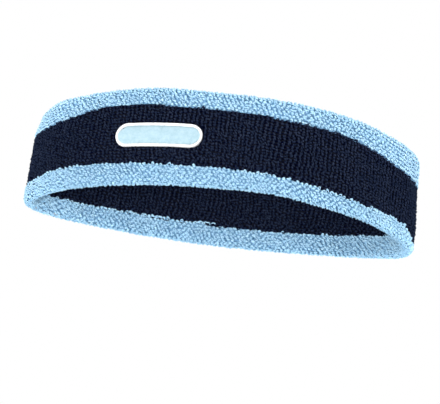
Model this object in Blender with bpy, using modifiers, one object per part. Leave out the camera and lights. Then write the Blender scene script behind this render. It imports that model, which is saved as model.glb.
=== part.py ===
"""Sports headband: a pull-on band of knitted terry, folded at both rims, at its real size.

Metres, +Z up. The band stands on its lower rim at z = 0, its front faces -Y, and its box is centred on the
origin in X and Y. Every piece of the wall is a section drawn in two numbers, the depth in from the outer
face and the height above the lower rim, and swept once round the band's outline.
"""
import math

import bmesh
import bpy
import numpy as np

# The band
HEIGHT = 0.050
WALL = 0.0060
STRIPE = 0.010            # height of a blue stripe on the outer face
INNER_STRIPE = 0.010      # and on the inner face
SEAM_HEIGHT = 0.038       # the closing seam's middle, on the inner face

# The outline of the outer face, seen from above: a deep front curve and a shallow back curve
HALF_LENGTH = 0.0980
FRONT_DEPTH = 0.0552
BACK_DEPTH = 0.0192
FRONT_POWER = 1.90        # 2 is an ellipse, less is straighter towards the ends
BACK_POWER = 1.60
FRONT_LEAN = 0.11         # the front's fullest part lies a little to the right
BACK_LEAN = -0.14         # and the back's a little to the left
BEND = 0.007              # how far the two ends are rounded off
OUTLINE_POINTS = 56
TANGENT_REACH = 0.002     # a direction on the outline is read between points this far before and after

# The layers of the wall
GAP = 0.0003
PILE = 0.0017             # height of the terry loops
GROUND = 0.0004           # thickness of the ground knit
RIM_ROUND = 0.0020        # radius of the fold's two corners
PILE_CHAMFER = 0.0004

SEAM_WIDTH = 0.0012
SEAM_DEPTH = 0.0013

THREADS = 8
THREAD_RADIUS = 0.0003
THREAD_MARGIN = 0.0045    # height of the first thread above the lower rim, and of the last below the upper

# The embroidered mark, a plain pill on the front, left of the middle
MARK_X = -0.0340
MARK_LENGTH = 0.0400
MARK_HEIGHT = 0.0090
MARK_THICK = 0.0008
MARK_END_COLUMNS = 8      # the pill's rows of points across each round end
MARK_MIDDLE_COLUMNS = 8   # and along its straight middle
MARK_TIP_ANGLE = 6        # degrees from the pill's tip to its first row, which leaves the tip blunt
BORDER_RADIUS = 0.0006
SUNK = 0.0009             # how far the stitches press the pile down

NAVY = (0.010, 0.014, 0.030)
BLUE = (0.297, 0.533, 0.745)
PALE_BLUE = (0.552, 0.753, 0.831)
WHITE = (0.880, 0.880, 0.880)
GREY = (0.030, 0.033, 0.042)
RUBBER = (0.620, 0.600, 0.540)


def clear_scene():
    for thing in list(bpy.data.objects):
        bpy.data.objects.remove(thing, do_unlink=True)


def collection(name):
    made = bpy.data.collections.new(name)
    bpy.context.scene.collection.children.link(made)
    return made


def material(name, colour, roughness):
    made = bpy.data.materials.new(name)
    made.use_nodes = True
    shader = made.node_tree.nodes["Principled BSDF"]
    shader.inputs["Base Color"].default_value = (*colour, 1.0)
    shader.inputs["Roughness"].default_value = roughness
    shader.inputs["Metallic"].default_value = 0.0
    return made


# ---- the outline ----

def half_curve(angle, depth, power, lean):
    """One side of the outline as a superellipse, made deeper towards one end by lean."""
    x = HALF_LENGTH * np.sign(np.cos(angle)) * np.abs(np.cos(angle)) ** (2 / power)
    y = depth * np.sign(np.sin(angle)) * np.abs(np.sin(angle)) ** (2 / power)
    return x, y * (1 + lean * x / HALF_LENGTH)


def lengths_along(points):
    """The distance along a closed line at each of its points, and at its return to the first."""
    steps = np.linalg.norm(np.roll(points, -1, axis=0) - points, axis=1)
    return np.concatenate([[0.0], np.cumsum(steps)])


def at_lengths(points, wanted):
    """Points of a closed line at the wanted distances along it."""
    along = lengths_along(points)
    closed = np.vstack([points, points[:1]])
    wanted = np.asarray(wanted) % along[-1]
    return np.stack([np.interp(wanted, along, closed[:, i]) for i in range(2)], axis=1)


def soften(points):
    """Rounds off a closed line of even steps: each point becomes a bell-weighted mean over BEND."""
    step = lengths_along(points)[-1] / len(points)
    reach = int(4 * BEND / step)
    offsets = np.arange(-reach, reach + 1)
    weights = np.exp(-0.5 * (offsets * step / BEND) ** 2)
    weights /= weights.sum()
    return sum(w * np.roll(points, o, axis=0) for w, o in zip(weights, offsets))


def smooth_outline(count=1440):
    """The outer face's outline from above, anticlockwise, its box centred on the origin."""
    angle = np.linspace(0, 2 * math.pi, count, endpoint=False)
    back = half_curve(angle, BACK_DEPTH, BACK_POWER, BACK_LEAN)
    front = half_curve(angle, FRONT_DEPTH, FRONT_POWER, FRONT_LEAN)
    raw = np.where(angle < math.pi, back, front).T
    even = at_lengths(raw, np.linspace(0, lengths_along(raw)[-1], count, endpoint=False))
    line = soften(even)
    return line - (line.max(axis=0) + line.min(axis=0)) / 2


def even_turns(line, count):
    """Fewer points for the same line, each step taking an equal share of its length and of its turning."""
    ahead = np.roll(line, -1, axis=0) - line
    heading = np.unwrap(np.arctan2(ahead[:, 1], ahead[:, 0]))
    turning = np.abs(np.diff(heading, append=heading[0] + 2 * math.pi))
    length = np.linalg.norm(ahead, axis=1)
    share = length / length.sum() + turning / turning.sum()
    reached = np.concatenate([[0.0], np.cumsum(share)])
    wanted = np.linspace(0, reached[-1], count, endpoint=False)
    along = lengths_along(line)
    return at_lengths(line, np.interp(wanted, reached, along))


OUTLINE = even_turns(smooth_outline(), OUTLINE_POINTS)


def on_wall(along, depth, height):
    """Points at a distance along the outline, a depth in from the outer face, and a height."""
    tangent = at_lengths(OUTLINE, along + TANGENT_REACH) - at_lengths(OUTLINE, along - TANGENT_REACH)
    tangent /= np.linalg.norm(tangent, axis=1)[:, None]
    inward = np.stack([-tangent[:, 1], tangent[:, 0]], axis=1)
    plan = at_lengths(OUTLINE, along) + inward * depth
    return np.column_stack([plan, np.broadcast_to(height, along.shape)])


# ---- sections of the wall, as (depth in from the outer face, height) ----

def corner(centre, radius, start, stop, steps=3):
    turn = np.radians(np.linspace(start, stop, steps + 1))
    return [(centre[0] + radius * math.cos(a), centre[1] + radius * math.sin(a)) for a in turn]


def slab(near, far, low, high, chamfer):
    """A flat strip of one layer, with its four edges taken off."""
    return [
        (near + chamfer, low), (far - chamfer, low), (far, low + chamfer), (far, high - chamfer),
        (far - chamfer, high), (near + chamfer, high), (near, high - chamfer), (near, low + chamfer),
    ]


def fold(outer_edge, inner_edge):
    """The pile over one rim, drawn for the lower rim: a U from the outer face's edge to the inner's."""
    outside = [(0.0, outer_edge)]
    outside += corner((RIM_ROUND, RIM_ROUND), RIM_ROUND, 180, 270)
    outside += corner((WALL - RIM_ROUND, RIM_ROUND), RIM_ROUND, 270, 360)
    outside += [(WALL, inner_edge)]
    inside = [(WALL - PILE, inner_edge), (WALL - PILE, PILE), (PILE, PILE), (PILE, outer_edge)]
    return outside + inside


def turned_over(section):
    """A lower section as it lies at the upper rim, its points still running the same way round."""
    return [(depth, HEIGHT - height) for depth, height in reversed(section)]


def ground_section():
    """The ground knit: one thin layer folded at both rims, its two edges meeting at the closing seam."""
    near = PILE + GAP
    far = WALL - near
    low = near
    high = HEIGHT - near
    slit_low = SEAM_HEIGHT - GAP / 2
    slit_high = SEAM_HEIGHT + GAP / 2
    inside = [
        (far - GROUND, slit_low), (far - GROUND, low + GROUND), (near + GROUND, low + GROUND),
        (near + GROUND, high - GROUND), (far - GROUND, high - GROUND), (far - GROUND, slit_high),
    ]
    outside = [(far, slit_high), (far, high), (near, high), (near, low), (far, low), (far, slit_low)]
    return inside + outside


# ---- making the pieces ----

def closed_line(name, points, home):
    """A closed curve object through the points."""
    data = bpy.data.curves.new(name, "CURVE")
    data.dimensions = "3D"
    data.twist_mode = "Z_UP"
    line = data.splines.new("POLY")
    line.points.add(len(points) - 1)
    for point, place in zip(line.points, points):
        point.co = (*place, 1.0)
    line.use_cyclic_u = True
    made = bpy.data.objects.new(name, data)
    home.objects.link(made)
    return made


def swept(name, section, look, parts, guides):
    """A section of the wall swept once round the band."""
    profile = closed_line(name + "_section", [(-depth, height, 0.0) for depth, height in section], guides)
    profile.hide_render = True
    profile.display_type = "WIRE"
    piece = closed_line(name, [(x, y, 0.0) for x, y in OUTLINE], parts)
    piece.data.bevel_mode = "OBJECT"
    piece.data.bevel_object = profile
    piece.data.materials.append(look)
    return piece


def tube(name, points, radius, look, parts):
    """A round closed ring through the points."""
    piece = closed_line(name, points, parts)
    piece.data.bevel_depth = radius
    piece.data.bevel_resolution = 1
    piece.data.materials.append(look)
    return piece


def mark_place(across, up, depth):
    """Points on the front face, measured from the middle of the mark."""
    front = np.flatnonzero(OUTLINE[:, 1] < 0)
    nearest = front[np.argmin(np.abs(OUTLINE[front, 0] - MARK_X))]
    middle = lengths_along(OUTLINE)[nearest] + MARK_X - OUTLINE[nearest, 0]
    return on_wall(middle + across, depth, HEIGHT / 2 + up)


def pill_columns(grow):
    """The mark's outline, grown by a margin, as distances along the face and the half-height at each."""
    radius = MARK_HEIGHT / 2 + grow
    straight = (MARK_LENGTH - MARK_HEIGHT) / 2
    turn = np.radians(np.linspace(MARK_TIP_ANGLE, 90, MARK_END_COLUMNS))
    end = straight + radius * np.cos(turn)
    rise = radius * np.sin(turn)
    middle = np.linspace(-straight, straight, MARK_MIDDLE_COLUMNS + 2)[1:-1]
    across = np.concatenate([-end, middle, end[::-1]])
    return across, np.concatenate([rise, np.full(len(middle), radius), rise[::-1]])


def pill_edge(grow, depth):
    """The mark's grown outline as a closed line on the front face."""
    across, rise = pill_columns(grow)
    return mark_place(np.concatenate([across, across[::-1]]), np.concatenate([rise, -rise[::-1]]), depth)


def pill(name, grow, near, far, look, home):
    """A pill-shaped layer lying along the front face, between two depths."""
    across, rise = pill_columns(grow)
    plate = bmesh.new()
    bmesh.ops.create_grid(plate, x_segments=len(across) - 1, y_segments=2, size=1.0)
    for point in plate.verts:
        column = round((point.co.x + 1) / 2 * (len(across) - 1))
        point.co = mark_place(across[column : column + 1], point.co.y * rise[column], far)[0]
    plate.faces.ensure_lookup_table()
    plate.normal_update()
    if plate.faces[0].normal.y > 0:
        bmesh.ops.reverse_faces(plate, faces=plate.faces)
    mesh = bpy.data.meshes.new(name)
    plate.to_mesh(mesh)
    plate.free()
    mesh.materials.append(look)
    made = bpy.data.objects.new(name, mesh)
    home.objects.link(made)
    thickness = made.modifiers.new("thickness", "SOLIDIFY")
    thickness.thickness = far - near
    thickness.offset = 1.0
    return made


def as_mesh(piece, parts):
    """The same piece as a plain mesh, so that it can be cut."""
    evaluated = piece.evaluated_get(bpy.context.evaluated_depsgraph_get())
    mesh = bpy.data.meshes.new_from_object(evaluated)
    name = piece.name
    place = piece.matrix_world.copy()
    bpy.data.objects.remove(piece, do_unlink=True)
    made = bpy.data.objects.new(name, mesh)
    made.matrix_world = place
    parts.objects.link(made)
    return made


def press_in(piece, cutter, parts):
    """Cuts the hollow that the stitches press into the pile."""
    cutter.hide_render = True
    cutter.display_type = "WIRE"
    made = as_mesh(piece, parts)
    cut = made.modifiers.new("hollow", "BOOLEAN")
    cut.operation = "DIFFERENCE"
    cut.object = cutter


def build():
    clear_scene()
    parts = collection("sports_headband")
    guides = collection("guides")
    navy = material("terry_navy", NAVY, 0.95)
    blue = material("terry_blue", BLUE, 0.95)
    ground = material("ground_knit", GREY, 0.80)
    rubber = material("rubber_thread", RUBBER, 0.60)
    stitch = material("seam_thread", NAVY, 0.70)
    pale = material("emblem_fill", PALE_BLUE, 0.45)
    white = material("emblem_border", WHITE, 0.45)

    half_gap = GAP / 2
    seam_low = SEAM_HEIGHT - SEAM_WIDTH / 2 - GAP
    seam_high = SEAM_HEIGHT + SEAM_WIDTH / 2 + GAP
    inner = WALL - PILE

    outer_pile = slab(0, PILE, STRIPE + half_gap, HEIGHT - STRIPE - half_gap, PILE_CHAMFER)
    inner_pile = slab(inner, WALL, INNER_STRIPE + half_gap, seam_low, PILE_CHAMFER)
    lower_fold = fold(STRIPE - half_gap, INNER_STRIPE - half_gap)
    upper_fold = fold(STRIPE - half_gap, HEIGHT - seam_high)
    seam = slab(inner, inner + SEAM_DEPTH, SEAM_HEIGHT - SEAM_WIDTH / 2, SEAM_HEIGHT + SEAM_WIDTH / 2,
                SEAM_WIDTH / 4)

    outer_navy = swept("outer_terry_navy", outer_pile, navy, parts, guides)
    swept("inner_terry_navy", inner_pile, navy, parts, guides)
    swept("lower_terry_blue", lower_fold, blue, parts, guides)
    swept("upper_terry_blue", turned_over(upper_fold), blue, parts, guides)
    swept("closing_seam", seam, stitch, parts, guides)
    swept("ground_knit", ground_section(), ground, parts, guides)

    steps = lengths_along(OUTLINE)[:-1]
    for number in range(THREADS):
        height = THREAD_MARGIN + number * (HEIGHT - 2 * THREAD_MARGIN) / (THREADS - 1)
        ring = on_wall(steps, WALL / 2, height)
        tube(f"rubber_thread_{number + 1}", ring, THREAD_RADIUS, rubber, parts)

    border_grow = GAP + BORDER_RADIUS
    hollow_grow = border_grow + BORDER_RADIUS + GAP
    pill("emblem_fill", 0.0, SUNK - MARK_THICK, SUNK, pale, parts)
    tube("emblem_border", pill_edge(border_grow, SUNK - BORDER_RADIUS), BORDER_RADIUS, white, parts)
    hollow = pill("mark_hollow", hollow_grow, -SUNK, SUNK + GAP, white, guides)
    press_in(outer_navy, hollow, parts)


build()
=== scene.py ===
"""The looks of the sports headband: looped terry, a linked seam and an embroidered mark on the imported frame.

Metres, +Z up. A place on the band has three numbers: how far along its outline it lies, how far round the
wall's own section (way), and how far it stands out from the pile's surface. The way round the section starts
at the closing seam, runs down the inner face, under the lower rim, up the outer face and over the upper rim.
"""
import math

import bpy
import numpy as np
from mathutils import Matrix, Vector
from mathutils.geometry import convex_hull_2d


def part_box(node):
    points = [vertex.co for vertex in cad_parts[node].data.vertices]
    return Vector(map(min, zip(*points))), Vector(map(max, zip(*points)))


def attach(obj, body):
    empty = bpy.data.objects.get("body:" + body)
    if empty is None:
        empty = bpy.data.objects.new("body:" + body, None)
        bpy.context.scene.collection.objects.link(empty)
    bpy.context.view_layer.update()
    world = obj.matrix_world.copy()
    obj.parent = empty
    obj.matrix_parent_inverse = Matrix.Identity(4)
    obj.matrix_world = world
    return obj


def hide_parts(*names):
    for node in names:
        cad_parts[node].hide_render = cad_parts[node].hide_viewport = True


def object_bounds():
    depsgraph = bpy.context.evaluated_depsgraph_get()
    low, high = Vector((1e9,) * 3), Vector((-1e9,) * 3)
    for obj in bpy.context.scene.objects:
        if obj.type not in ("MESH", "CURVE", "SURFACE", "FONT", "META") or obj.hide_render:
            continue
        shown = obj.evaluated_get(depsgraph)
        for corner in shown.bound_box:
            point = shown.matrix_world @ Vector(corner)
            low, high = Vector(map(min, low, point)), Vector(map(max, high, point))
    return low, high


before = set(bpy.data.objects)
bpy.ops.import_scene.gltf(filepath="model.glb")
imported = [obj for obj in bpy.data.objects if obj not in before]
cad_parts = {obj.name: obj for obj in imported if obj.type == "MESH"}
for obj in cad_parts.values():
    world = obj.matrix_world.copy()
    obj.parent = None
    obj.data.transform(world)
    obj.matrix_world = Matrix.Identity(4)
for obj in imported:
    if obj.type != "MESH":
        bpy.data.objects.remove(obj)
cad_low, cad_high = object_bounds()
rng = np.random.default_rng(7)


# ---- sizes read from the frame ----

def low(node):
    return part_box(node)[0]


def high(node):
    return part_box(node)[1]


HEIGHT = cad_high.z - cad_low.z
GAP = low("inner_terry_navy").z - high("lower_terry_blue").z
PILE = high("outer_terry_navy").x - high("ground_knit").x - GAP
WALL = high("outer_terry_navy").x - high("inner_terry_navy").x + PILE
OUTER_STRIPE = low("outer_terry_navy").z - GAP / 2
INNER_STRIPE = low("inner_terry_navy").z - GAP / 2
SEAM_Z = (low("closing_seam").z + high("closing_seam").z) / 2
SEAM_HALF = (high("closing_seam").z - low("closing_seam").z) / 2
MARK_X = (low("emblem_border").x + high("emblem_border").x) / 2
MARK_Z = (low("emblem_border").z + high("emblem_border").z) / 2
MARK_HALF_HIGH = (high("emblem_border").z - low("emblem_border").z) / 2

# ---- the pile's yarn ----
YARN = 0.00027            # radius of the pile yarn
ENDS = (-1, 0, 1)         # it is knitted three ends at a time, side by side in every loop
LOOP_WIDE = 0.00208       # from one loop to the next, along the band
COURSE = 0.00157          # from one round of loops to the next
FOOT = 0.00145            # depth of the loops' feet under their crests
LOOP_PARTS = (0.0, 0.22, 0.42, 0.60, 0.80)   # where a loop's points are, from foot to foot
YARN_SIDES = 4
ROUNDS_A_PIECE = 7

# How each colour's loops lie:
#   twist, sway      how far a loop's crest is turned from the band's length, in degrees, and how that varies
#   steep            how steeply its legs rise
#   apart            how far apart the crests of its three ends are
#   puff             how far its crest stands out
#   fuller           how thick the yarn is
#   strays, loose    how far crests and feet stray from their even places
#   offset, stagger  how far a round is out of step with the next, at random and always by this part of a loop
#   tallness         how far the loops' heights vary
#   crowding         how much shallower the pile is at the band's two ends, where the loops crowd together, and how much less painted shade its foot has there
NAVY_PILE = dict(
    twist=-57, sway=30, steep=1.4, apart=0.00038, puff=0.0, fuller=1.0, strays=0.00028, loose=0.00018,
    offset=0.00034, stagger=0.0, tallness=0.12, crowding=0.0)
BLUE_PILE = dict(
    twist=-42, sway=24, steep=0.95, apart=0.00050, puff=0.00022, fuller=0.90, strays=0.00026, loose=0.00016,
    offset=0.00022, stagger=0.5, tallness=0.20, crowding=0.62)

# The same for both colours
CROWDED_FROM, CROWDED_BY = 0.60, 0.97   # where along the band the loops start to crowd and are closest
SHORTEST, TALLEST = 0.6, 1.25           # limits of a loop's height
CREST_NARROWER = 0.08     # how much narrower a loop is at its crest
FOOT_THINNER = 0.20       # how much thinner the yarn is where it is pulled tight at the foot
YARN_VARIES = 0.08        # how far the yarn's thickness varies from loop to loop
RIM_SHORTER = 0.10        # how much shorter the loops are over the rims
RIM_FULLER = 0.12         # and how much fuller their yarn is

# ---- the ground knit ----
GROUND_DEEP = 0.0018      # its face, under the crests
GROUND_THICK = 0.0004

# ---- how the cloth has settled; a place along the band is -1 at its left end and +1 at its right ----
# hills: how far, where its middle is, and half its width
# the front's upper rim
FRONT_RISES = ((0.0015, -0.42, 0.42), (0.0003, 0.40, 0.45), (-0.0006, 0.84, 0.20))
FRONT_LIFTS = (0.0009, 0.25, 0.30)      # the front's lower rim
RIM_NARROWS = (0.0013, 0.66, 0.30)      # the lower stripe, on its outer face
# ramps: how far, where it starts and where it is full
LEFT_CORNER_IN = (0.0024, -0.86, -0.99)   # the upper part of the left end leans in
LEFT_END_IN = (0.0005, -0.88, -0.99)
RIGHT_END_OUT = (0.0009, 0.88, 0.99)    # the lower part of the right end bulges out
UPPER_DROOPS = ((0.0060, -0.60, -1.0), (0.0036, 0.56, 0.93))   # the upper stripe, wider at both ends
LEFT_NARROWS = (0.0020, -0.80, -0.98)   # the lower stripe, at the left end
END_NARROWS = 0.0042      # and at the right end, where its edge dips fast on the front and slowly on the back
END_DIPS_FRONT, END_DIPS_BACK = (0.93, 1.0), (0.50, 1.0)
END_TURN = 0.012          # the distance in depth over which the one passes into the other
STRIPES_SLIDE = 0.0020    # the outer stripes sit this much lower at the right end, higher at the left
INNER_SLIDE = 0.7         # the inner stripe's share of that
RIM_STRIPE_LOWER = 0.0005    # the lower stripe's outer edge sits this much lower all round
ROUND_STARTS_X = -0.006   # where the knitted rounds begin and end, on the back


# ---- curves ----

def bump(x, middle, half):
    """A smooth hill, 1 in its middle and 0 from half away."""
    return np.where(np.abs(x - middle) < half, 0.5 + 0.5 * np.cos(math.pi * (x - middle) / half), 0.0)


def step(x, start, end):
    """A smooth rise from 0 at start to 1 at end."""
    t = np.clip((x - start) / (end - start), 0, 1)
    return t * t * (3 - 2 * t)


def hill(x, size, middle, half):
    return size * bump(x, middle, half)


def ramp(x, size, start, full):
    return size * step(x, start, full)


# ---- the band's outline ----
OUTLINE_STEPS = 4096
CURVE_STEPS = 60          # steps of the smooth curve from one of the CAD's corners to the next
SAME_POINT = 0.001        # corners nearer to each other than this are one
AHEAD = 4                 # its direction at a step is taken over this many steps either way


def plan_points(node):
    """The node's outermost points seen from above, anticlockwise."""
    flat = [Vector((v.co.x, v.co.y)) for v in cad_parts[node].data.vertices]
    rim = np.array([flat[i] for i in convex_hull_2d(flat)])
    apart = np.linalg.norm(rim - np.roll(rim, 1, axis=0), axis=1)
    return rim[apart > SAME_POINT]


def through(points, count):
    """A smooth closed line of even steps through the points, and its length."""
    following = np.roll(points, -1, axis=0)
    chord = np.linalg.norm(following - points, axis=1)[:, None]
    before = np.roll(chord, 1, axis=0)
    ahead = (following - points) / chord
    slope = (ahead * before + np.roll(ahead, 1, axis=0) * chord) / (before + chord)
    t = np.linspace(0, 1, CURVE_STEPS, endpoint=False)[None, :, None]
    leave, reach = (slope * chord)[:, None], (np.roll(slope, -1, axis=0) * chord)[:, None]
    fine = (2 * t**3 - 3 * t**2 + 1) * points[:, None] + (t**3 - 2 * t**2 + t) * leave
    fine = (fine + (3 * t**2 - 2 * t**3) * following[:, None] + (t**3 - t**2) * reach).reshape(-1, 2)
    closed = np.vstack([fine, fine[:1]])
    reached = np.concatenate([[0], np.cumsum(np.linalg.norm(np.diff(closed, axis=0), axis=1))])
    even = np.linspace(0, reached[-1], count, endpoint=False)
    return np.stack([np.interp(even, reached, closed[:, i]) for i in range(2)], axis=1), reached[-1]


def nearest_x(line, side, x):
    """Which point on the front (side -1) or the back (side 1) of the line is x across."""
    return int(np.argmin(np.where(line[:, 1] * side > 0, np.abs(line[:, 0] - x), 1.0)))


fine_line, AROUND = through(plan_points("outer_terry_navy"), OUTLINE_STEPS)
OUTLINE = np.roll(fine_line, -nearest_x(fine_line, 1, ROUND_STARTS_X), axis=0)
FORWARD = np.roll(OUTLINE, -AHEAD, axis=0) - np.roll(OUTLINE, AHEAD, axis=0)
FORWARD /= np.linalg.norm(FORWARD, axis=1)[:, None]
INWARD = np.stack([-FORWARD[:, 1], FORWARD[:, 0]], axis=1)
RIGHT_END_Y = OUTLINE[np.argmax(OUTLINE[:, 0]), 1]


def looked_up(table, along):
    """Values of a closed table at distances along the outline."""
    at = (np.asarray(along) / AROUND * len(table)) % len(table)
    i = at.astype(int) % len(table)
    share = (at - np.floor(at))[..., None]
    return table[i] * (1 - share) + table[(i + 1) % len(table)] * share


def plan_x(along):
    """-1 at the band's left end, +1 at its right."""
    return looked_up(OUTLINE, along)[..., 0] / cad_high.x


def front_along(x):
    """How far along the outline the front is x across."""
    return nearest_x(OUTLINE, -1, x) / OUTLINE_STEPS * AROUND


# ---- the wall's section ----
BEND = WALL / 2 - YARN
LEG_LOW, LEG_HIGH = WALL / 2, HEIGHT - WALL / 2
TURN = math.pi * BEND
INNER_LEG = SEAM_Z - SEAM_HALF - LEG_LOW
OUTER_LEG = LEG_HIGH - LEG_LOW
LAST_LEG = LEG_HIGH - SEAM_Z - SEAM_HALF
LOWER_TURN = INNER_LEG
OUTER_STARTS = LOWER_TURN + TURN
UPPER_TURN = OUTER_STARTS + OUTER_LEG
LAST_STARTS = UPPER_TURN + TURN
SECTION = LAST_STARTS + LAST_LEG


def section(way):
    """Depth and height at distances round the section, and the way out there as depth and height."""
    way = np.asarray(way, float)
    turned = (np.clip(way - LOWER_TURN, 0, TURN) + np.clip(way - UPPER_TURN, 0, TURN)) / BEND
    height = np.where(way < OUTER_STARTS, LEG_LOW, LEG_HIGH) - BEND * np.sin(turned)
    height = np.where(way < LOWER_TURN, LEG_LOW + INNER_LEG - way, height)
    height = np.where((way >= OUTER_STARTS) & (way < UPPER_TURN), LEG_LOW + way - OUTER_STARTS, height)
    height = np.where(way >= LAST_STARTS, LEG_HIGH - (way - LAST_STARTS), height)
    return WALL / 2 + BEND * np.cos(turned), height, np.cos(turned), -np.sin(turned)


def inner_way(z):
    return LEG_LOW + INNER_LEG - z


def outer_way(z):
    return OUTER_STARTS + z - LEG_LOW


def on_rim(way):
    """1 where the wall turns over its lower or upper rim, 0 on its flat faces."""
    return bump(way, LOWER_TURN + TURN / 2, TURN) + bump(way, UPPER_TURN + TURN / 2, TURN)


def settled(along, height):
    """How far the cloth has sagged or risen, and how far it has bulged out, from the even CAD band."""
    x = plan_x(along)
    share = height / HEIGHT
    front = looked_up(OUTLINE, along)[..., 1] < 0
    rise = sum(hill(x, *each) for each in FRONT_RISES) * share**2 + hill(x, *FRONT_LIFTS) * (1 - share) ** 2
    corner = ramp(x, *LEFT_CORNER_IN) * step(share, 0.70, 1.0)
    swell = ramp(x, *RIGHT_END_OUT) * bump(share, 0.25, 0.5) - ramp(x, *LEFT_END_IN) - corner
    return np.where(front, rise, 0.0), swell


def place(along, way, out):
    """World points at distances along the outline and round the section, standing out by out."""
    depth, height, depth_out, up_out = section(way)
    rise, swell = settled(along, height)
    depth = depth + out * depth_out - swell
    plan = looked_up(OUTLINE, along) + looked_up(INWARD, along) * depth[..., None]
    return np.concatenate([plan, (height + rise + out * up_out)[..., None]], axis=-1)


def directions(along, way):
    """World directions along the band, on round the section, and out of the surface."""
    _, _, depth_out, up_out = section(way)
    inward = looked_up(INWARD, along)
    forward = looked_up(FORWARD, along)
    out = np.concatenate([inward * depth_out[..., None], up_out[..., None]], axis=-1)
    on = np.concatenate([inward * up_out[..., None], -depth_out[..., None]], axis=-1)
    return np.concatenate([forward, np.zeros(forward.shape[:-1] + (1,))], axis=-1), on, out


# ---- meshes ----

def mesh_piece(name, points, quads, caps, looks, parts=None, heights=None):
    """A smooth mesh of quads and end caps that rides on the band.

    parts gives each face's look, and heights each point's height in the pile from 0 to 1, which a look reads
    for its painted shade at the pile's foot.
    """
    corners = np.concatenate([quads.ravel()] + [np.asarray(cap) for cap in caps]).astype(np.int32)
    sizes = np.array([4] * len(quads) + [len(cap) for cap in caps], np.int32)
    mesh = bpy.data.meshes.new(name)
    mesh.vertices.add(len(points))
    mesh.vertices.foreach_set("co", np.asarray(points, np.float32).ravel())
    mesh.loops.add(len(corners))
    mesh.loops.foreach_set("vertex_index", corners)
    mesh.polygons.add(len(sizes))
    mesh.polygons.foreach_set("loop_start", (np.cumsum(sizes) - sizes).astype(np.int32))
    mesh.polygons.foreach_set("use_smooth", np.ones(len(sizes), bool))
    for look in looks:
        mesh.materials.append(look)
    if parts is not None:
        mesh.polygons.foreach_set("material_index", np.asarray(parts, np.int32))
    if heights is not None:
        pile_height = mesh.attributes.new("pile_height", "FLOAT", "POINT")
        pile_height.data.foreach_set("value", heights.astype(np.float32))
    mesh.update(calc_edges=True)
    made = bpy.data.objects.new(name, mesh)
    bpy.context.scene.collection.objects.link(made)
    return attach(made, "root") or made


def tube(path, across, radius, sides):
    """Points, quads and end caps of a round yarn along a path; across is never along the path."""
    ahead = np.gradient(path, axis=0)
    ahead /= np.linalg.norm(ahead, axis=1)[:, None]
    side = across - (across * ahead).sum(1)[:, None] * ahead
    side /= np.linalg.norm(side, axis=1)[:, None]
    other = np.cross(ahead, side)
    turn = np.arange(sides) / sides * 2 * math.pi
    ring = np.cos(turn)[None, :, None] * side[:, None] + np.sin(turn)[None, :, None] * other[:, None]
    radius = np.broadcast_to(radius, len(path))
    points = (path[:, None] + ring * radius[:, None, None]).reshape(-1, 3)
    start = np.arange(len(path) - 1)[:, None] * sides
    j = np.arange(sides)[None, :]
    after = (j + 1) % sides
    quads = np.stack([start + j, start + after, start + after + sides, start + j + sides], axis=-1)
    caps = [np.arange(sides)[::-1], np.arange(sides) + (len(path) - 1) * sides]
    return points, quads.reshape(-1, 4), caps


def bundle(yarns):
    """The points, quads and end caps of many tubes as those of one mesh."""
    points, quads, caps, count = [], [], [], 0
    for yarn_points, yarn_quads, yarn_caps in yarns:
        points.append(yarn_points)
        quads.append(yarn_quads + count)
        caps += [cap + count for cap in yarn_caps]
        count += len(yarn_points)
    return np.concatenate(points), np.concatenate(quads), caps


# ---- the mark's place ----
MARK_ALONG = front_along(MARK_X)
MARK_HALF_LONG = (front_along(high("emblem_border").x) - front_along(low("emblem_border").x)) / 2
MARK_STRAIGHT = MARK_HALF_LONG - MARK_HALF_HIGH   # half the length between its two round ends
MARK_PRESSES = 0.0010     # how far its stitches press the pile's crests down
MARK_PRESSES_FROM, MARK_PRESSES_FULLY = -0.0012, -0.0002   # where that starts and is full, by inside_mark


def inside_mark(along, way):
    """How far inside the mark's outline a place lies; negative outside it."""
    u = np.abs(along - MARK_ALONG) - MARK_STRAIGHT
    v = way - outer_way(MARK_Z)
    return MARK_HALF_HIGH - np.hypot(np.maximum(u, 0), v)


# ---- rounds of loops ----
WALES = round(AROUND / LOOP_WIDE)


def zone_rows():
    """The number of rounds in each zone: inner navy, lower blue, outer navy, upper blue."""
    ways = [0, inner_way(INNER_STRIPE), outer_way(OUTER_STRIPE), outer_way(HEIGHT - OUTER_STRIPE), SECTION]
    return [round((b - a) / COURSE) for a, b in zip(ways, ways[1:])]


ZONE_ROWS = zone_rows()
ZONE_ENDS = np.concatenate([[0], np.cumsum(ZONE_ROWS)])


def zone_ways(along):
    """The way round the section of each zone's edges: seam, inner stripe, both outer stripes, seam."""
    x = plan_x(along)
    slide = -STRIPES_SLIDE * x
    droop = sum(ramp(x, *each) for each in UPPER_DROOPS)
    to_the_back = step(looked_up(OUTLINE, along)[..., 1], RIGHT_END_Y, RIGHT_END_Y + END_TURN)
    end_dip = step(x, *END_DIPS_FRONT) * (1 - to_the_back) + step(x, *END_DIPS_BACK) * to_the_back
    narrower = ramp(x, *LEFT_NARROWS) + hill(x, *RIM_NARROWS) + END_NARROWS * end_dip
    return [
        np.zeros_like(x),
        inner_way(INNER_STRIPE) + slide * INNER_SLIDE,
        outer_way(OUTER_STRIPE) - RIM_STRIPE_LOWER + slide - narrower,
        outer_way(HEIGHT - OUTER_STRIPE) + slide - droop,
        np.full_like(x, SECTION),
    ]


def row_way(row, along):
    """How far round the section a row of loops lies."""
    ways = zone_ways(along)
    found = np.zeros_like(along)
    for zone, rows in enumerate(ZONE_ROWS):
        share = (row - ZONE_ENDS[zone]) / rows
        inside = (row >= ZONE_ENDS[zone]) & (row <= ZONE_ENDS[zone + 1])
        found = np.where(inside, ways[zone] * (1 - share) + ways[zone + 1] * share, found)
    return found


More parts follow.
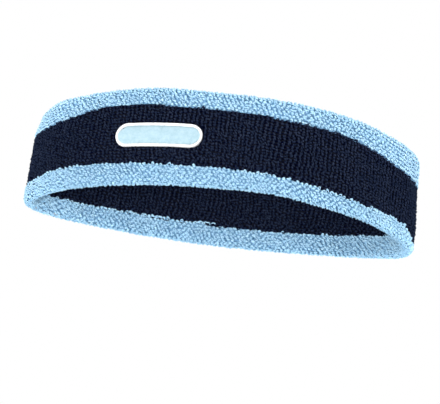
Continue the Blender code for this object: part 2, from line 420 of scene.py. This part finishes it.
# The knit's tension wanders in slow waves: waves in a round, and where they start along and across
WAVES = [(k, rng.uniform(0, 2 * math.pi), rng.uniform(0, 2 * math.pi)) for k in (5, 8, 13, 19)]
WANDER_ALONG, WANDER_ACROSS = 0.0034, 0.00007
DRIFT_ALONG, DRIFT_ACROSS = 0.11, 0.23   # how far the waves have moved on from one round to the next
WALE_SHIFTS = rng.normal(0, 0.00035, WALES)   # each column of loops is a little out of step with the next
ROUNDS = np.arange(ZONE_ENDS[-1] + 1)
ROUND_SHIFTS = rng.normal(0, 1, len(ROUNDS))   # and so is each round; scaled by the pile's offset


def uneven(wales, row):
    """How far a loop is off its even place along the band and across it, round the section, in metres."""
    part = wales / WALES * 2 * math.pi
    along = sum(np.sin(k * part + a + DRIFT_ALONG * row) / k for k, a, _ in WAVES) * WANDER_ALONG
    across = sum(np.sin(2 * k * part + b + DRIFT_ACROSS * row) for k, _, b in WAVES) * WANDER_ACROSS
    return along, across + WALE_SHIFTS[wales.astype(int) % WALES]


def pile_end(first, last, side, pile):
    """One end of pile yarn knitted round and round as a chain of standing loops; side is its place."""
    wales_round = WALES + pile["stagger"]
    loops = int(round((last - first) * wales_round))
    part = np.append(np.tile(LOOP_PARTS, loops), 1.0)
    loop = np.append(np.repeat(np.arange(loops), len(LOOP_PARTS)), loops - 1)

    def each(middle, spread):
        """A random value for each loop, given at all its points."""
        return rng.normal(middle, spread, loops)[loop]

    # the loop's even place
    wales = first * wales_round + loop + 0.5
    row = wales / wales_round
    middle_along = (wales % wales_round) / wales_round * AROUND
    middle_way = row_way(first + (loop + part) / wales_round, middle_along)
    off_along, off_way = uneven(wales % wales_round, row)
    off_along = off_along + each(0, pile["loose"]) + np.interp(row, ROUNDS, ROUND_SHIFTS) * pile["offset"]

    # its shape: it rises from one foot to its crest, turns and spreads there, and comes down to the next foot
    rise = np.sin(math.pi * part) ** pile["steep"]
    tall = np.clip(each(1.0, pile["tallness"]), SHORTEST, TALLEST)
    turn = (math.radians(pile["twist"]) + each(0, math.radians(pile["sway"]))) * rise**0.8
    reach = (part - 0.5) * LOOP_WIDE * (1 - CREST_NARROWER * rise)
    aside = side * pile["apart"] * rise
    along = middle_along + off_along + reach * np.cos(turn) - aside * np.sin(turn)
    along = along + each(0, pile["strays"]) * rise
    way = middle_way + off_way + each(0, pile["strays"]) * rise
    way = way + reach * np.sin(turn) + aside * np.cos(turn)

    # how far it stands out
    crowded = pile["crowding"] * step(np.abs(plan_x(middle_along)), CROWDED_FROM, CROWDED_BY)
    pressed = step(inside_mark(along, way), MARK_PRESSES_FROM, MARK_PRESSES_FULLY)
    over_rim = on_rim(way)
    deep = 1 - rise * tall * (1 - RIM_SHORTER * over_rim)
    out = pile["puff"] - FOOT * deep * (1 - crowded) - pressed * rise * MARK_PRESSES
    path = place(along, way, out)
    forward, on, _ = directions(along, way)
    across = on * np.cos(turn)[:, None] - forward * np.sin(turn)[:, None]
    thick = (pile["fuller"] + RIM_FULLER * over_rim) * YARN * ((1 - FOOT_THINNER) + FOOT_THINNER * rise)
    # each point's height in the pile, for the painted shade at the loops' feet: less of it where the loops
    # crowd, all of it under the mark's stitches
    height = (rise + (1 - rise) * crowded) * (1 - pressed)
    return path, across, thick * each(1.0, YARN_VARIES), height


def knitted_rounds(name, first, last, look, pile):
    """Rounds of loops from row first to row last, all the ends of their yarn in one piece."""
    ends = [pile_end(first, last, side, pile) for side in ENDS]
    yarns = bundle([tube(path, across, radius, YARN_SIDES) for path, across, radius, _ in ends])
    heights = np.concatenate([np.repeat(height, YARN_SIDES) for _, _, _, height in ends])
    return mesh_piece(name, *yarns, [look], heights=heights)


def terry(looks):
    """The pile, zone by zone, in pieces of a few rounds each."""
    a, b, c, d, e = ZONE_ENDS
    zones = [
        ("inner_navy_loops", a, b, "terry_navy", "inner_terry_navy", NAVY_PILE),
        ("lower_blue_loops", b, c, "terry_blue", "lower_terry_blue", BLUE_PILE),
        ("outer_navy_loops", c, d, "terry_navy", "outer_terry_navy", NAVY_PILE),
        ("upper_blue_loops", d, e, "terry_blue", "upper_terry_blue", BLUE_PILE),
    ]
    made = []
    for name, start, end, slot, node, pile in zones:
        pieces = math.ceil((end - start) / ROUNDS_A_PIECE)
        cuts = [start + round((end - start) * i / pieces) for i in range(pieces + 1)]
        for number, (first, last) in enumerate(zip(cuts, cuts[1:]), 1):
            yarn = knitted_rounds(f"{name}_{number}", int(first), int(last), looks[slot], pile)
            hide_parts(node)
            made.append(yarn)
    return made


# each loose tail's start from where the rounds begin, its length, its height over the stripe and its curl
TAILS = [
    (-0.0052, 0.0030, 0.0007, 0.0003),
    (-0.0022, 0.0030, 0.0011, -0.0003),
    (0.0014, 0.0034, 0.0008, 0.0003),
]
TAIL_DEEP, TAIL_ARCH = 0.0012, 0.0017   # how far under the crests a tail starts, and how far it arches up
TAIL_TAPER = 0.3
TAIL_SIDES = 6


def yarn_tails(look):
    """Short loose tails of blue yarn inside the back, where the inner stripe's knitting begins and ends."""
    t = np.linspace(0, 1, 18)
    tails = []
    for start, long, above, curl in TAILS:
        along = start + long * t
        way = zone_ways(along)[1] - above - curl * np.sin(1.5 * math.pi * t)
        out = -TAIL_DEEP + TAIL_ARCH * np.sin(math.pi * t**0.7) ** 0.6
        path = place(along, way, out)
        _, on, _ = directions(along, way)
        tails.append(tube(path, on, YARN * (1 - TAIL_TAPER * t), TAIL_SIDES))
    # heights of 1 everywhere: the tails get none of the painted shade at the pile's foot
    no_foot_shade = np.ones(len(TAILS) * len(t) * TAIL_SIDES)
    made = mesh_piece("stripe_yarn_tails", *bundle(tails), [look], heights=no_foot_shade)
    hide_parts("lower_terry_blue")
    return made


# ---- the ground knit ----

def ground(looks):
    """The ground knit's sheet all round the section, open only at the closing seam; its colours, darker than
    the pile's, are painted shade in the pits between the loops.
    """
    rounds, steps = 420, 96
    along = np.repeat(np.arange(rounds) / rounds * AROUND, steps + 1)
    way = np.tile(np.linspace(0, SECTION, steps + 1), rounds)
    points = place(along, way, np.full(len(way), -GROUND_DEEP))
    i, j = np.meshgrid(np.arange(rounds), np.arange(steps), indexing="ij")
    here, there = i * (steps + 1) + j, (i + 1) % rounds * (steps + 1) + j
    quads = np.stack([here, here + 1, there + 1, there], axis=-1).reshape(-1, 4)
    ends = zone_ways(along[quads[:, 0]])
    centre = way[quads].mean(axis=1)
    blue = ((centre > ends[1]) & (centre < ends[2])) | (centre > ends[3])
    two_looks = [looks["ground_navy"], looks["ground_blue"]]
    sheet = mesh_piece("ground_knit_sheet", points, quads, (), two_looks, parts=blue)
    thick = sheet.modifiers.new("thickness", "SOLIDIFY")
    thick.thickness = GROUND_THICK
    thick.offset = -1.0
    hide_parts("ground_knit")


# ---- the closing seam ----
STITCH_LONG = 0.0026
STITCH_LAPS = 0.28        # how far each stitch runs back over the one before, as a part of a stitch
STITCH_HALF_WIDE = 0.00042
STITCH_WAVE = 0.0003      # how far it goes in and out of the cloth
SEAM_YARN = 0.00024


def seam(look):
    """A row of linked chain stitches round the inner face, closing the folded knit."""
    steps = 14
    count = round(AROUND / STITCH_LONG)
    t = np.arange(count * steps + 1) / steps
    stitch_number, part = np.floor(t), t - np.floor(t)
    lap = STITCH_LAPS * np.sin(2 * math.pi * part)
    along = (stitch_number + 0.5 - 0.5 * np.cos(math.pi * part) + lap) * AROUND / count
    height = SEAM_Z + STITCH_HALF_WIDE * np.sin(2 * math.pi * part)
    depth = WALL - YARN - STITCH_WAVE + STITCH_WAVE * np.cos(2 * math.pi * part)
    plan = looked_up(OUTLINE, along) + looked_up(INWARD, along) * depth[:, None]
    path = np.concatenate([plan, height[:, None]], axis=1)
    inward = np.concatenate([looked_up(INWARD, along), np.zeros((len(along), 1))], axis=1)
    stitches = mesh_piece("seam_stitches", *tube(path, inward, SEAM_YARN, 6), [look])
    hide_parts("closing_seam")
    return stitches


# ---- the embroidered mark ----
MARK_THREAD = 0.00024     # radius of its threads
THREAD_SIDES = 5
THREADS_APART = 0.00042
SHORTEST_THREAD = 0.0004  # half its length; the filling's ends have none shorter
SLANT = 0.0016            # how far a filling thread's ends lie to the side of its middle
THREADS_STRAY = 0.00006
BORDER_WIDE = 0.0011
FILL_IN = 0.55            # the filling's edge lies this share of the border's width inside the outline
BORDER_STITCHES = 250
BORDER_SLANT = 0.0004
# how far out of the pile's crests the threads' ends and their middles are
FILL_ENDS, FILL_MIDDLES = -0.0011, -0.0002
BORDER_ENDS, BORDER_MIDDLES = -0.0010, 0.0003


def stitch(start, end, low_out, high_out, steps):
    """A thread from start to end on the mark, arched up between them.

    A place on the mark is (u, v): u along the band and v up from its centre.
    """
    t = np.linspace(0, 1, steps)
    u, v = (start[i] * (1 - t) + end[i] * t for i in (0, 1))
    along, way = MARK_ALONG + u, outer_way(MARK_Z) + v
    path = place(along, way, low_out + (high_out - low_out) * np.sin(math.pi * t) ** 0.5)
    _, _, outward = directions(along, way)
    return tube(path, np.cross(outward, np.gradient(path, axis=0)), MARK_THREAD, THREAD_SIDES)


def pill_line(half_high, count):
    """Even places and outward normals round a pill, half_high either way from the mark's middle line."""
    straight, turn = 2 * MARK_STRAIGHT, math.pi * half_high
    at = np.arange(count) / count * 2 * (straight + turn)
    centre = np.clip(at, 0, straight) - np.clip(at - straight - turn, 0, straight) - MARK_STRAIGHT
    turned = np.clip(at - straight, 0, turn) + np.clip(at - 2 * straight - turn, 0, turn)
    angle = turned / half_high - math.pi / 2
    normals = np.stack([np.cos(angle), np.sin(angle)], axis=1)
    places = half_high * normals
    places[:, 0] += centre
    return places, normals


def mark_fill(look):
    """The filling: slanting satin threads side by side from the pill's lower edge to its upper."""
    half = MARK_HALF_HIGH - BORDER_WIDE * FILL_IN
    threads = []
    for u in np.arange(-MARK_STRAIGHT - half, MARK_STRAIGHT + half, THREADS_APART):
        over = max(abs(u) - MARK_STRAIGHT, 0.0)
        top = math.sqrt(max(half**2 - over**2, 0.0))
        if top < SHORTEST_THREAD:
            continue
        lean = SLANT * top / half - rng.normal(0, THREADS_STRAY)
        threads.append(stitch((u - lean, -top), (u + lean, top), FILL_ENDS, FILL_MIDDLES, 12))
    fill = mesh_piece("mark_fill_threads", *bundle(threads), [look])
    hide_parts("emblem_fill")
    return fill


def mark_border(look):
    """The border: short satin stitches across the pill's outline, side by side all round."""
    threads = []
    for place_there, normal in zip(*pill_line(MARK_HALF_HIGH - BORDER_WIDE / 2, BORDER_STITCHES)):
        half = normal * (BORDER_WIDE / 2 + rng.normal(0, THREADS_STRAY))
        half = half + np.array([-normal[1], normal[0]]) * BORDER_SLANT
        threads.append(stitch(place_there - half, place_there + half, BORDER_ENDS, BORDER_MIDDLES, 7))
    border = mesh_piece("mark_border_stitches", *bundle(threads), [look])
    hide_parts("emblem_border")
    return border


# ---- materials ----
DARK_AT, COLOUR_AT, LIGHT_AT = 0.30, 0.50, 0.70   # where in the noise's range a cloth's three tones lie
FIBRE_SCALE = 9000.0      # the fibres' noise, in a metre
FIBRE_DEEP = 0.0001
SHADE_GONE = 0.85          # the share of the pile's height at which the painted shade at its foot has gone, at the least


def noise(nodes, links, scale, detail, rough=0.5):
    """A noise over the object, as a value from 0 to 1."""
    where = nodes.new("ShaderNodeTexCoord")
    made = nodes.new("ShaderNodeTexNoise")
    made.inputs["Scale"].default_value = scale
    made.inputs["Detail"].default_value = detail
    made.inputs["Roughness"].default_value = rough
    links.new(where.outputs["Object"], made.inputs["Vector"])
    return made.outputs["Fac"]


def tones(nodes, links, value, stops):
    """A value turned into a colour by two or more stops, each a position and a colour, in rising order."""
    made = nodes.new("ShaderNodeValToRGB")
    marks = made.color_ramp.elements
    for mark_there, (position, colour) in zip(marks, (stops[0], stops[-1])):
        mark_there.position = position
        mark_there.color = (*colour, 1)
    for position, colour in stops[1:-1]:
        marks.new(position).color = (*colour, 1)
    links.new(value, made.inputs["Fac"])
    return made.outputs["Color"]


def cloth(name, dark, colour, light, patch=420.0, rough=0.92, sheen=0.12, shine=0.15, coarse=0.5,
          foot=None, foot_ends=0.15):
    """Spun yarn: its colour varies from loop to loop, and its fibres show as fine streaks.

    foot is the colour of painted shade at the pile's foot, where the yarn lies packed and little light
    reaches;
    foot_ends is the share of the pile's height where that painted shade starts to fade.
    """
    made = bpy.data.materials.new(name)
    made.use_nodes = True
    nodes, links = made.node_tree.nodes, made.node_tree.links
    shader = nodes["Principled BSDF"]
    shader.inputs["Roughness"].default_value = rough
    shader.inputs["Specular IOR Level"].default_value = shine
    shader.inputs["Sheen Weight"].default_value = sheen
    shader.inputs["Sheen Roughness"].default_value = 0.5
    shader.inputs["Sheen Tint"].default_value = (*light, 1)
    loop_tone = noise(nodes, links, patch, 3.0, 0.85)
    yarn = tones(nodes, links, loop_tone, [(DARK_AT, dark), (COLOUR_AT, colour), (LIGHT_AT, light)])
    if foot is not None:
        # painted shade: the yarn's colour darkened and made bluer towards the pile's foot, by the pile_height
        # attribute
        up = nodes.new("ShaderNodeAttribute")
        up.attribute_name = "pile_height"
        stops = [(foot_ends, foot), (SHADE_GONE + foot_ends / 5, (1, 1, 1))]
        painted_shade = tones(nodes, links, up.outputs["Fac"], stops)
        shaded_yarn = nodes.new("ShaderNodeVectorMath")
        shaded_yarn.operation = "MULTIPLY"
        links.new(yarn, shaded_yarn.inputs[0])
        links.new(painted_shade, shaded_yarn.inputs[1])
        yarn = shaded_yarn.outputs["Vector"]
    links.new(yarn, shader.inputs["Base Color"])
    bumps = nodes.new("ShaderNodeBump")
    bumps.inputs["Strength"].default_value = coarse
    bumps.inputs["Distance"].default_value = FIBRE_DEEP
    links.new(noise(nodes, links, FIBRE_SCALE, 2.0), bumps.inputs["Height"])
    links.new(bumps.outputs["Normal"], shader.inputs["Normal"])
    return made


# each cloth's dark, middle and light tone, and how it differs from plain matt yarn
LOOKS = {
    # terry_navy and terry_blue: foot and foot_ends give the painted shade at the pile's foot, darker and bluer
    # than the yarn
    "terry_navy": cloth(
        "navy_terry", (0.0043, 0.0082, 0.024), (0.0120, 0.0178, 0.037), (0.0215, 0.0288, 0.052),
        sheen=0.01, shine=0.0, foot=(0.02, 0.05, 0.24), foot_ends=0.40),
    "terry_blue": cloth(
        "blue_terry", (0.226, 0.412, 0.582), (0.340, 0.542, 0.698), (0.475, 0.678, 0.800),
        foot=(0.16, 0.32, 0.43), foot_ends=0.25),
    # the ground knit is real and of the pile's yarn; its darker colour here is painted shade in the pits
    # between the loops
    "ground_navy": cloth(
        "navy_ground", (0.001, 0.002, 0.006), (0.002, 0.003, 0.009), (0.003, 0.004, 0.012), sheen=0.0),
    "ground_blue": cloth(
        "blue_ground", (0.13, 0.27, 0.44), (0.17, 0.33, 0.51), (0.21, 0.38, 0.57), sheen=0.0),
    "seam_thread": cloth("seam_yarn", (0.008, 0.012, 0.026), (0.010, 0.014, 0.030), (0.014, 0.019, 0.040)),
    "emblem_fill": cloth(
        "pale_satin", (0.27, 0.39, 0.445), (0.315, 0.435, 0.49), (0.36, 0.48, 0.535), rough=0.45, coarse=0.2),
    "emblem_border": cloth(
        "white_satin", (0.64, 0.65, 0.66), (0.70, 0.70, 0.71), (0.76, 0.76, 0.76), rough=0.45, coarse=0.2),
    "rubber": cloth(
        "rubber", (0.56, 0.54, 0.48), (0.62, 0.60, 0.54), (0.67, 0.65, 0.59), patch=900.0, rough=0.6),
}


# ---- the headband ----

def rubber_threads(look):
    """The CAD's own threads, in rubber."""
    for node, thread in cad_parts.items():
        if node.startswith("rubber_thread"):
            for slot in thread.material_slots:
                slot.material = look


loops = terry(LOOKS)
ground(LOOKS)
yarn_tails(LOOKS["terry_blue"])
seam(LOOKS["seam_thread"])
mark_fill(LOOKS["emblem_fill"])
mark_border(LOOKS["emblem_border"])
rubber_threads(LOOKS["rubber"])


# ---- floor, lights and camera ----
FLOOR_WIDE = 6.0
FLOOR_UNDER = 0.0006      # how far under the band's lower rim the floor lies
FLOOR_FADES = (0.20, 0.75)   # how far from the band's middle it starts and ends fading into white
SURROUND = 0.47           # the white surroundings' light; they look white all the same
LAMPS = [                 # name, place, width and watts
    ("front", (-0.38, -0.95, -0.70), 0.7, 24.5),
    ("right", (1.0, -0.6, -0.5), 0.7, 5),
    ("top", (0.5, -0.8, 1.3), 0.9, 25),
    ("back", (0.4, 1.2, 0.7), 0.9, 34),
]
CAMERA_UP = math.radians(25.0)    # it looks up at the band this steeply
CAMERA_ROLL = math.radians(7.6)   # and sees it tipped this far to the right
CAMERA_AWAY = 1.0
CAMERA_LENS = 165.0
CAMERA_PAST = 0.018       # its line passes this far behind the band's middle
AIM_RIGHT, AIM_UP = -0.0011, -0.0073   # how far its aim is off that line, for each metre away


def mixed(nodes, links, share, plain, other):
    """A mix of two shaders, all other where share is 1."""
    made = nodes.new("ShaderNodeMixShader")
    links.new(share, made.inputs["Fac"])
    links.new(plain, made.inputs[1])
    links.new(other, made.inputs[2])
    return made.outputs[0]


def floor_look():
    """Pale and matt, fading into plain white far off, and clear from below."""
    look = bpy.data.materials.new("floor")
    look.use_nodes = True
    nodes, links = look.node_tree.nodes, look.node_tree.links
    shader = nodes["Principled BSDF"]
    shader.inputs["Base Color"].default_value = (0.85, 0.85, 0.85, 1)
    shader.inputs["Roughness"].default_value = 0.9
    where = nodes.new("ShaderNodeTexCoord")
    away = nodes.new("ShaderNodeVectorMath")
    away.operation = "LENGTH"
    links.new(where.outputs["Object"], away.inputs[0])
    far = nodes.new("ShaderNodeMapRange")
    far.interpolation_type = "SMOOTHSTEP"
    far.inputs["From Min"].default_value, far.inputs["From Max"].default_value = FLOOR_FADES
    links.new(away.outputs["Value"], far.inputs["Value"])
    white = nodes.new("ShaderNodeEmission")
    faded = mixed(nodes, links, far.outputs["Result"], shader.outputs[0], white.outputs[0])
    under = nodes.new("ShaderNodeNewGeometry")
    clear = nodes.new("ShaderNodeBsdfTransparent")
    seen = mixed(nodes, links, under.outputs["Backfacing"], faded, clear.outputs[0])
    links.new(seen, nodes["Material Output"].inputs["Surface"])
    return look


def floor():
    """A plain pale floor just under the band, seen only from above."""
    bpy.ops.mesh.primitive_plane_add(size=FLOOR_WIDE, location=(0, 0, cad_low.z - FLOOR_UNDER))
    made = bpy.context.active_object
    made.name = "floor"
    made.data.materials.append(floor_look())
    made.visible_shadow = False


def lights():
    """A soft lamp low at the front, a weak one at the right, two higher up, and white all round."""
    aim = Vector((0, 0, HEIGHT / 2))
    for name, spot, wide, watts in LAMPS:
        data = bpy.data.lights.new(name, "AREA")
        data.size = wide
        data.energy = watts
        made = bpy.data.objects.new(name, data)
        bpy.context.scene.collection.objects.link(made)
        made.location = spot
        made.rotation_euler = (aim - Vector(spot)).to_track_quat("-Z", "Y").to_euler()
    world = bpy.data.worlds.new("studio")
    bpy.context.scene.world = world
    world.use_nodes = True
    nodes, links = world.node_tree.nodes, world.node_tree.links
    surround = nodes["Background"]
    surround.inputs["Color"].default_value = (1, 1, 1, 1)
    surround.inputs["Strength"].default_value = SURROUND
    paper = nodes.new("ShaderNodeBackground")
    paper.inputs["Color"].default_value = (1, 1, 1, 1)
    to_camera = nodes.new("ShaderNodeLightPath").outputs["Is Camera Ray"]
    seen = mixed(nodes, links, to_camera, surround.outputs[0], paper.outputs[0])
    links.new(seen, nodes["World Output"].inputs["Surface"])
    bpy.context.scene.view_settings.view_transform = "Standard"


def camera():
    """The view: from below in front, with the band tipped to the right."""
    up = Vector((0, -math.sin(CAMERA_UP), math.cos(CAMERA_UP)))
    ahead = Vector((0, math.cos(CAMERA_UP), math.sin(CAMERA_UP)))
    eye = Vector((0.0, CAMERA_PAST, HEIGHT / 2)) - ahead * CAMERA_AWAY
    right = Vector((1, 0, 0)) * math.cos(CAMERA_ROLL) + up * math.sin(CAMERA_ROLL)
    image_up = right.cross(ahead)
    aim = (ahead + right * AIM_RIGHT + image_up * AIM_UP).normalized()
    right = (right - aim * right.dot(aim)).normalized()
    data = bpy.data.cameras.new("camera")
    data.lens = CAMERA_LENS
    data.sensor_width = 36.0
    made = bpy.data.objects.new("camera", data)
    bpy.context.scene.collection.objects.link(made)
    turn = Matrix((right, right.cross(aim), -aim)).transposed()
    made.matrix_world = Matrix.Translation(eye) @ turn.to_4x4()
    bpy.context.scene.camera = made


floor()
lights()
camera()
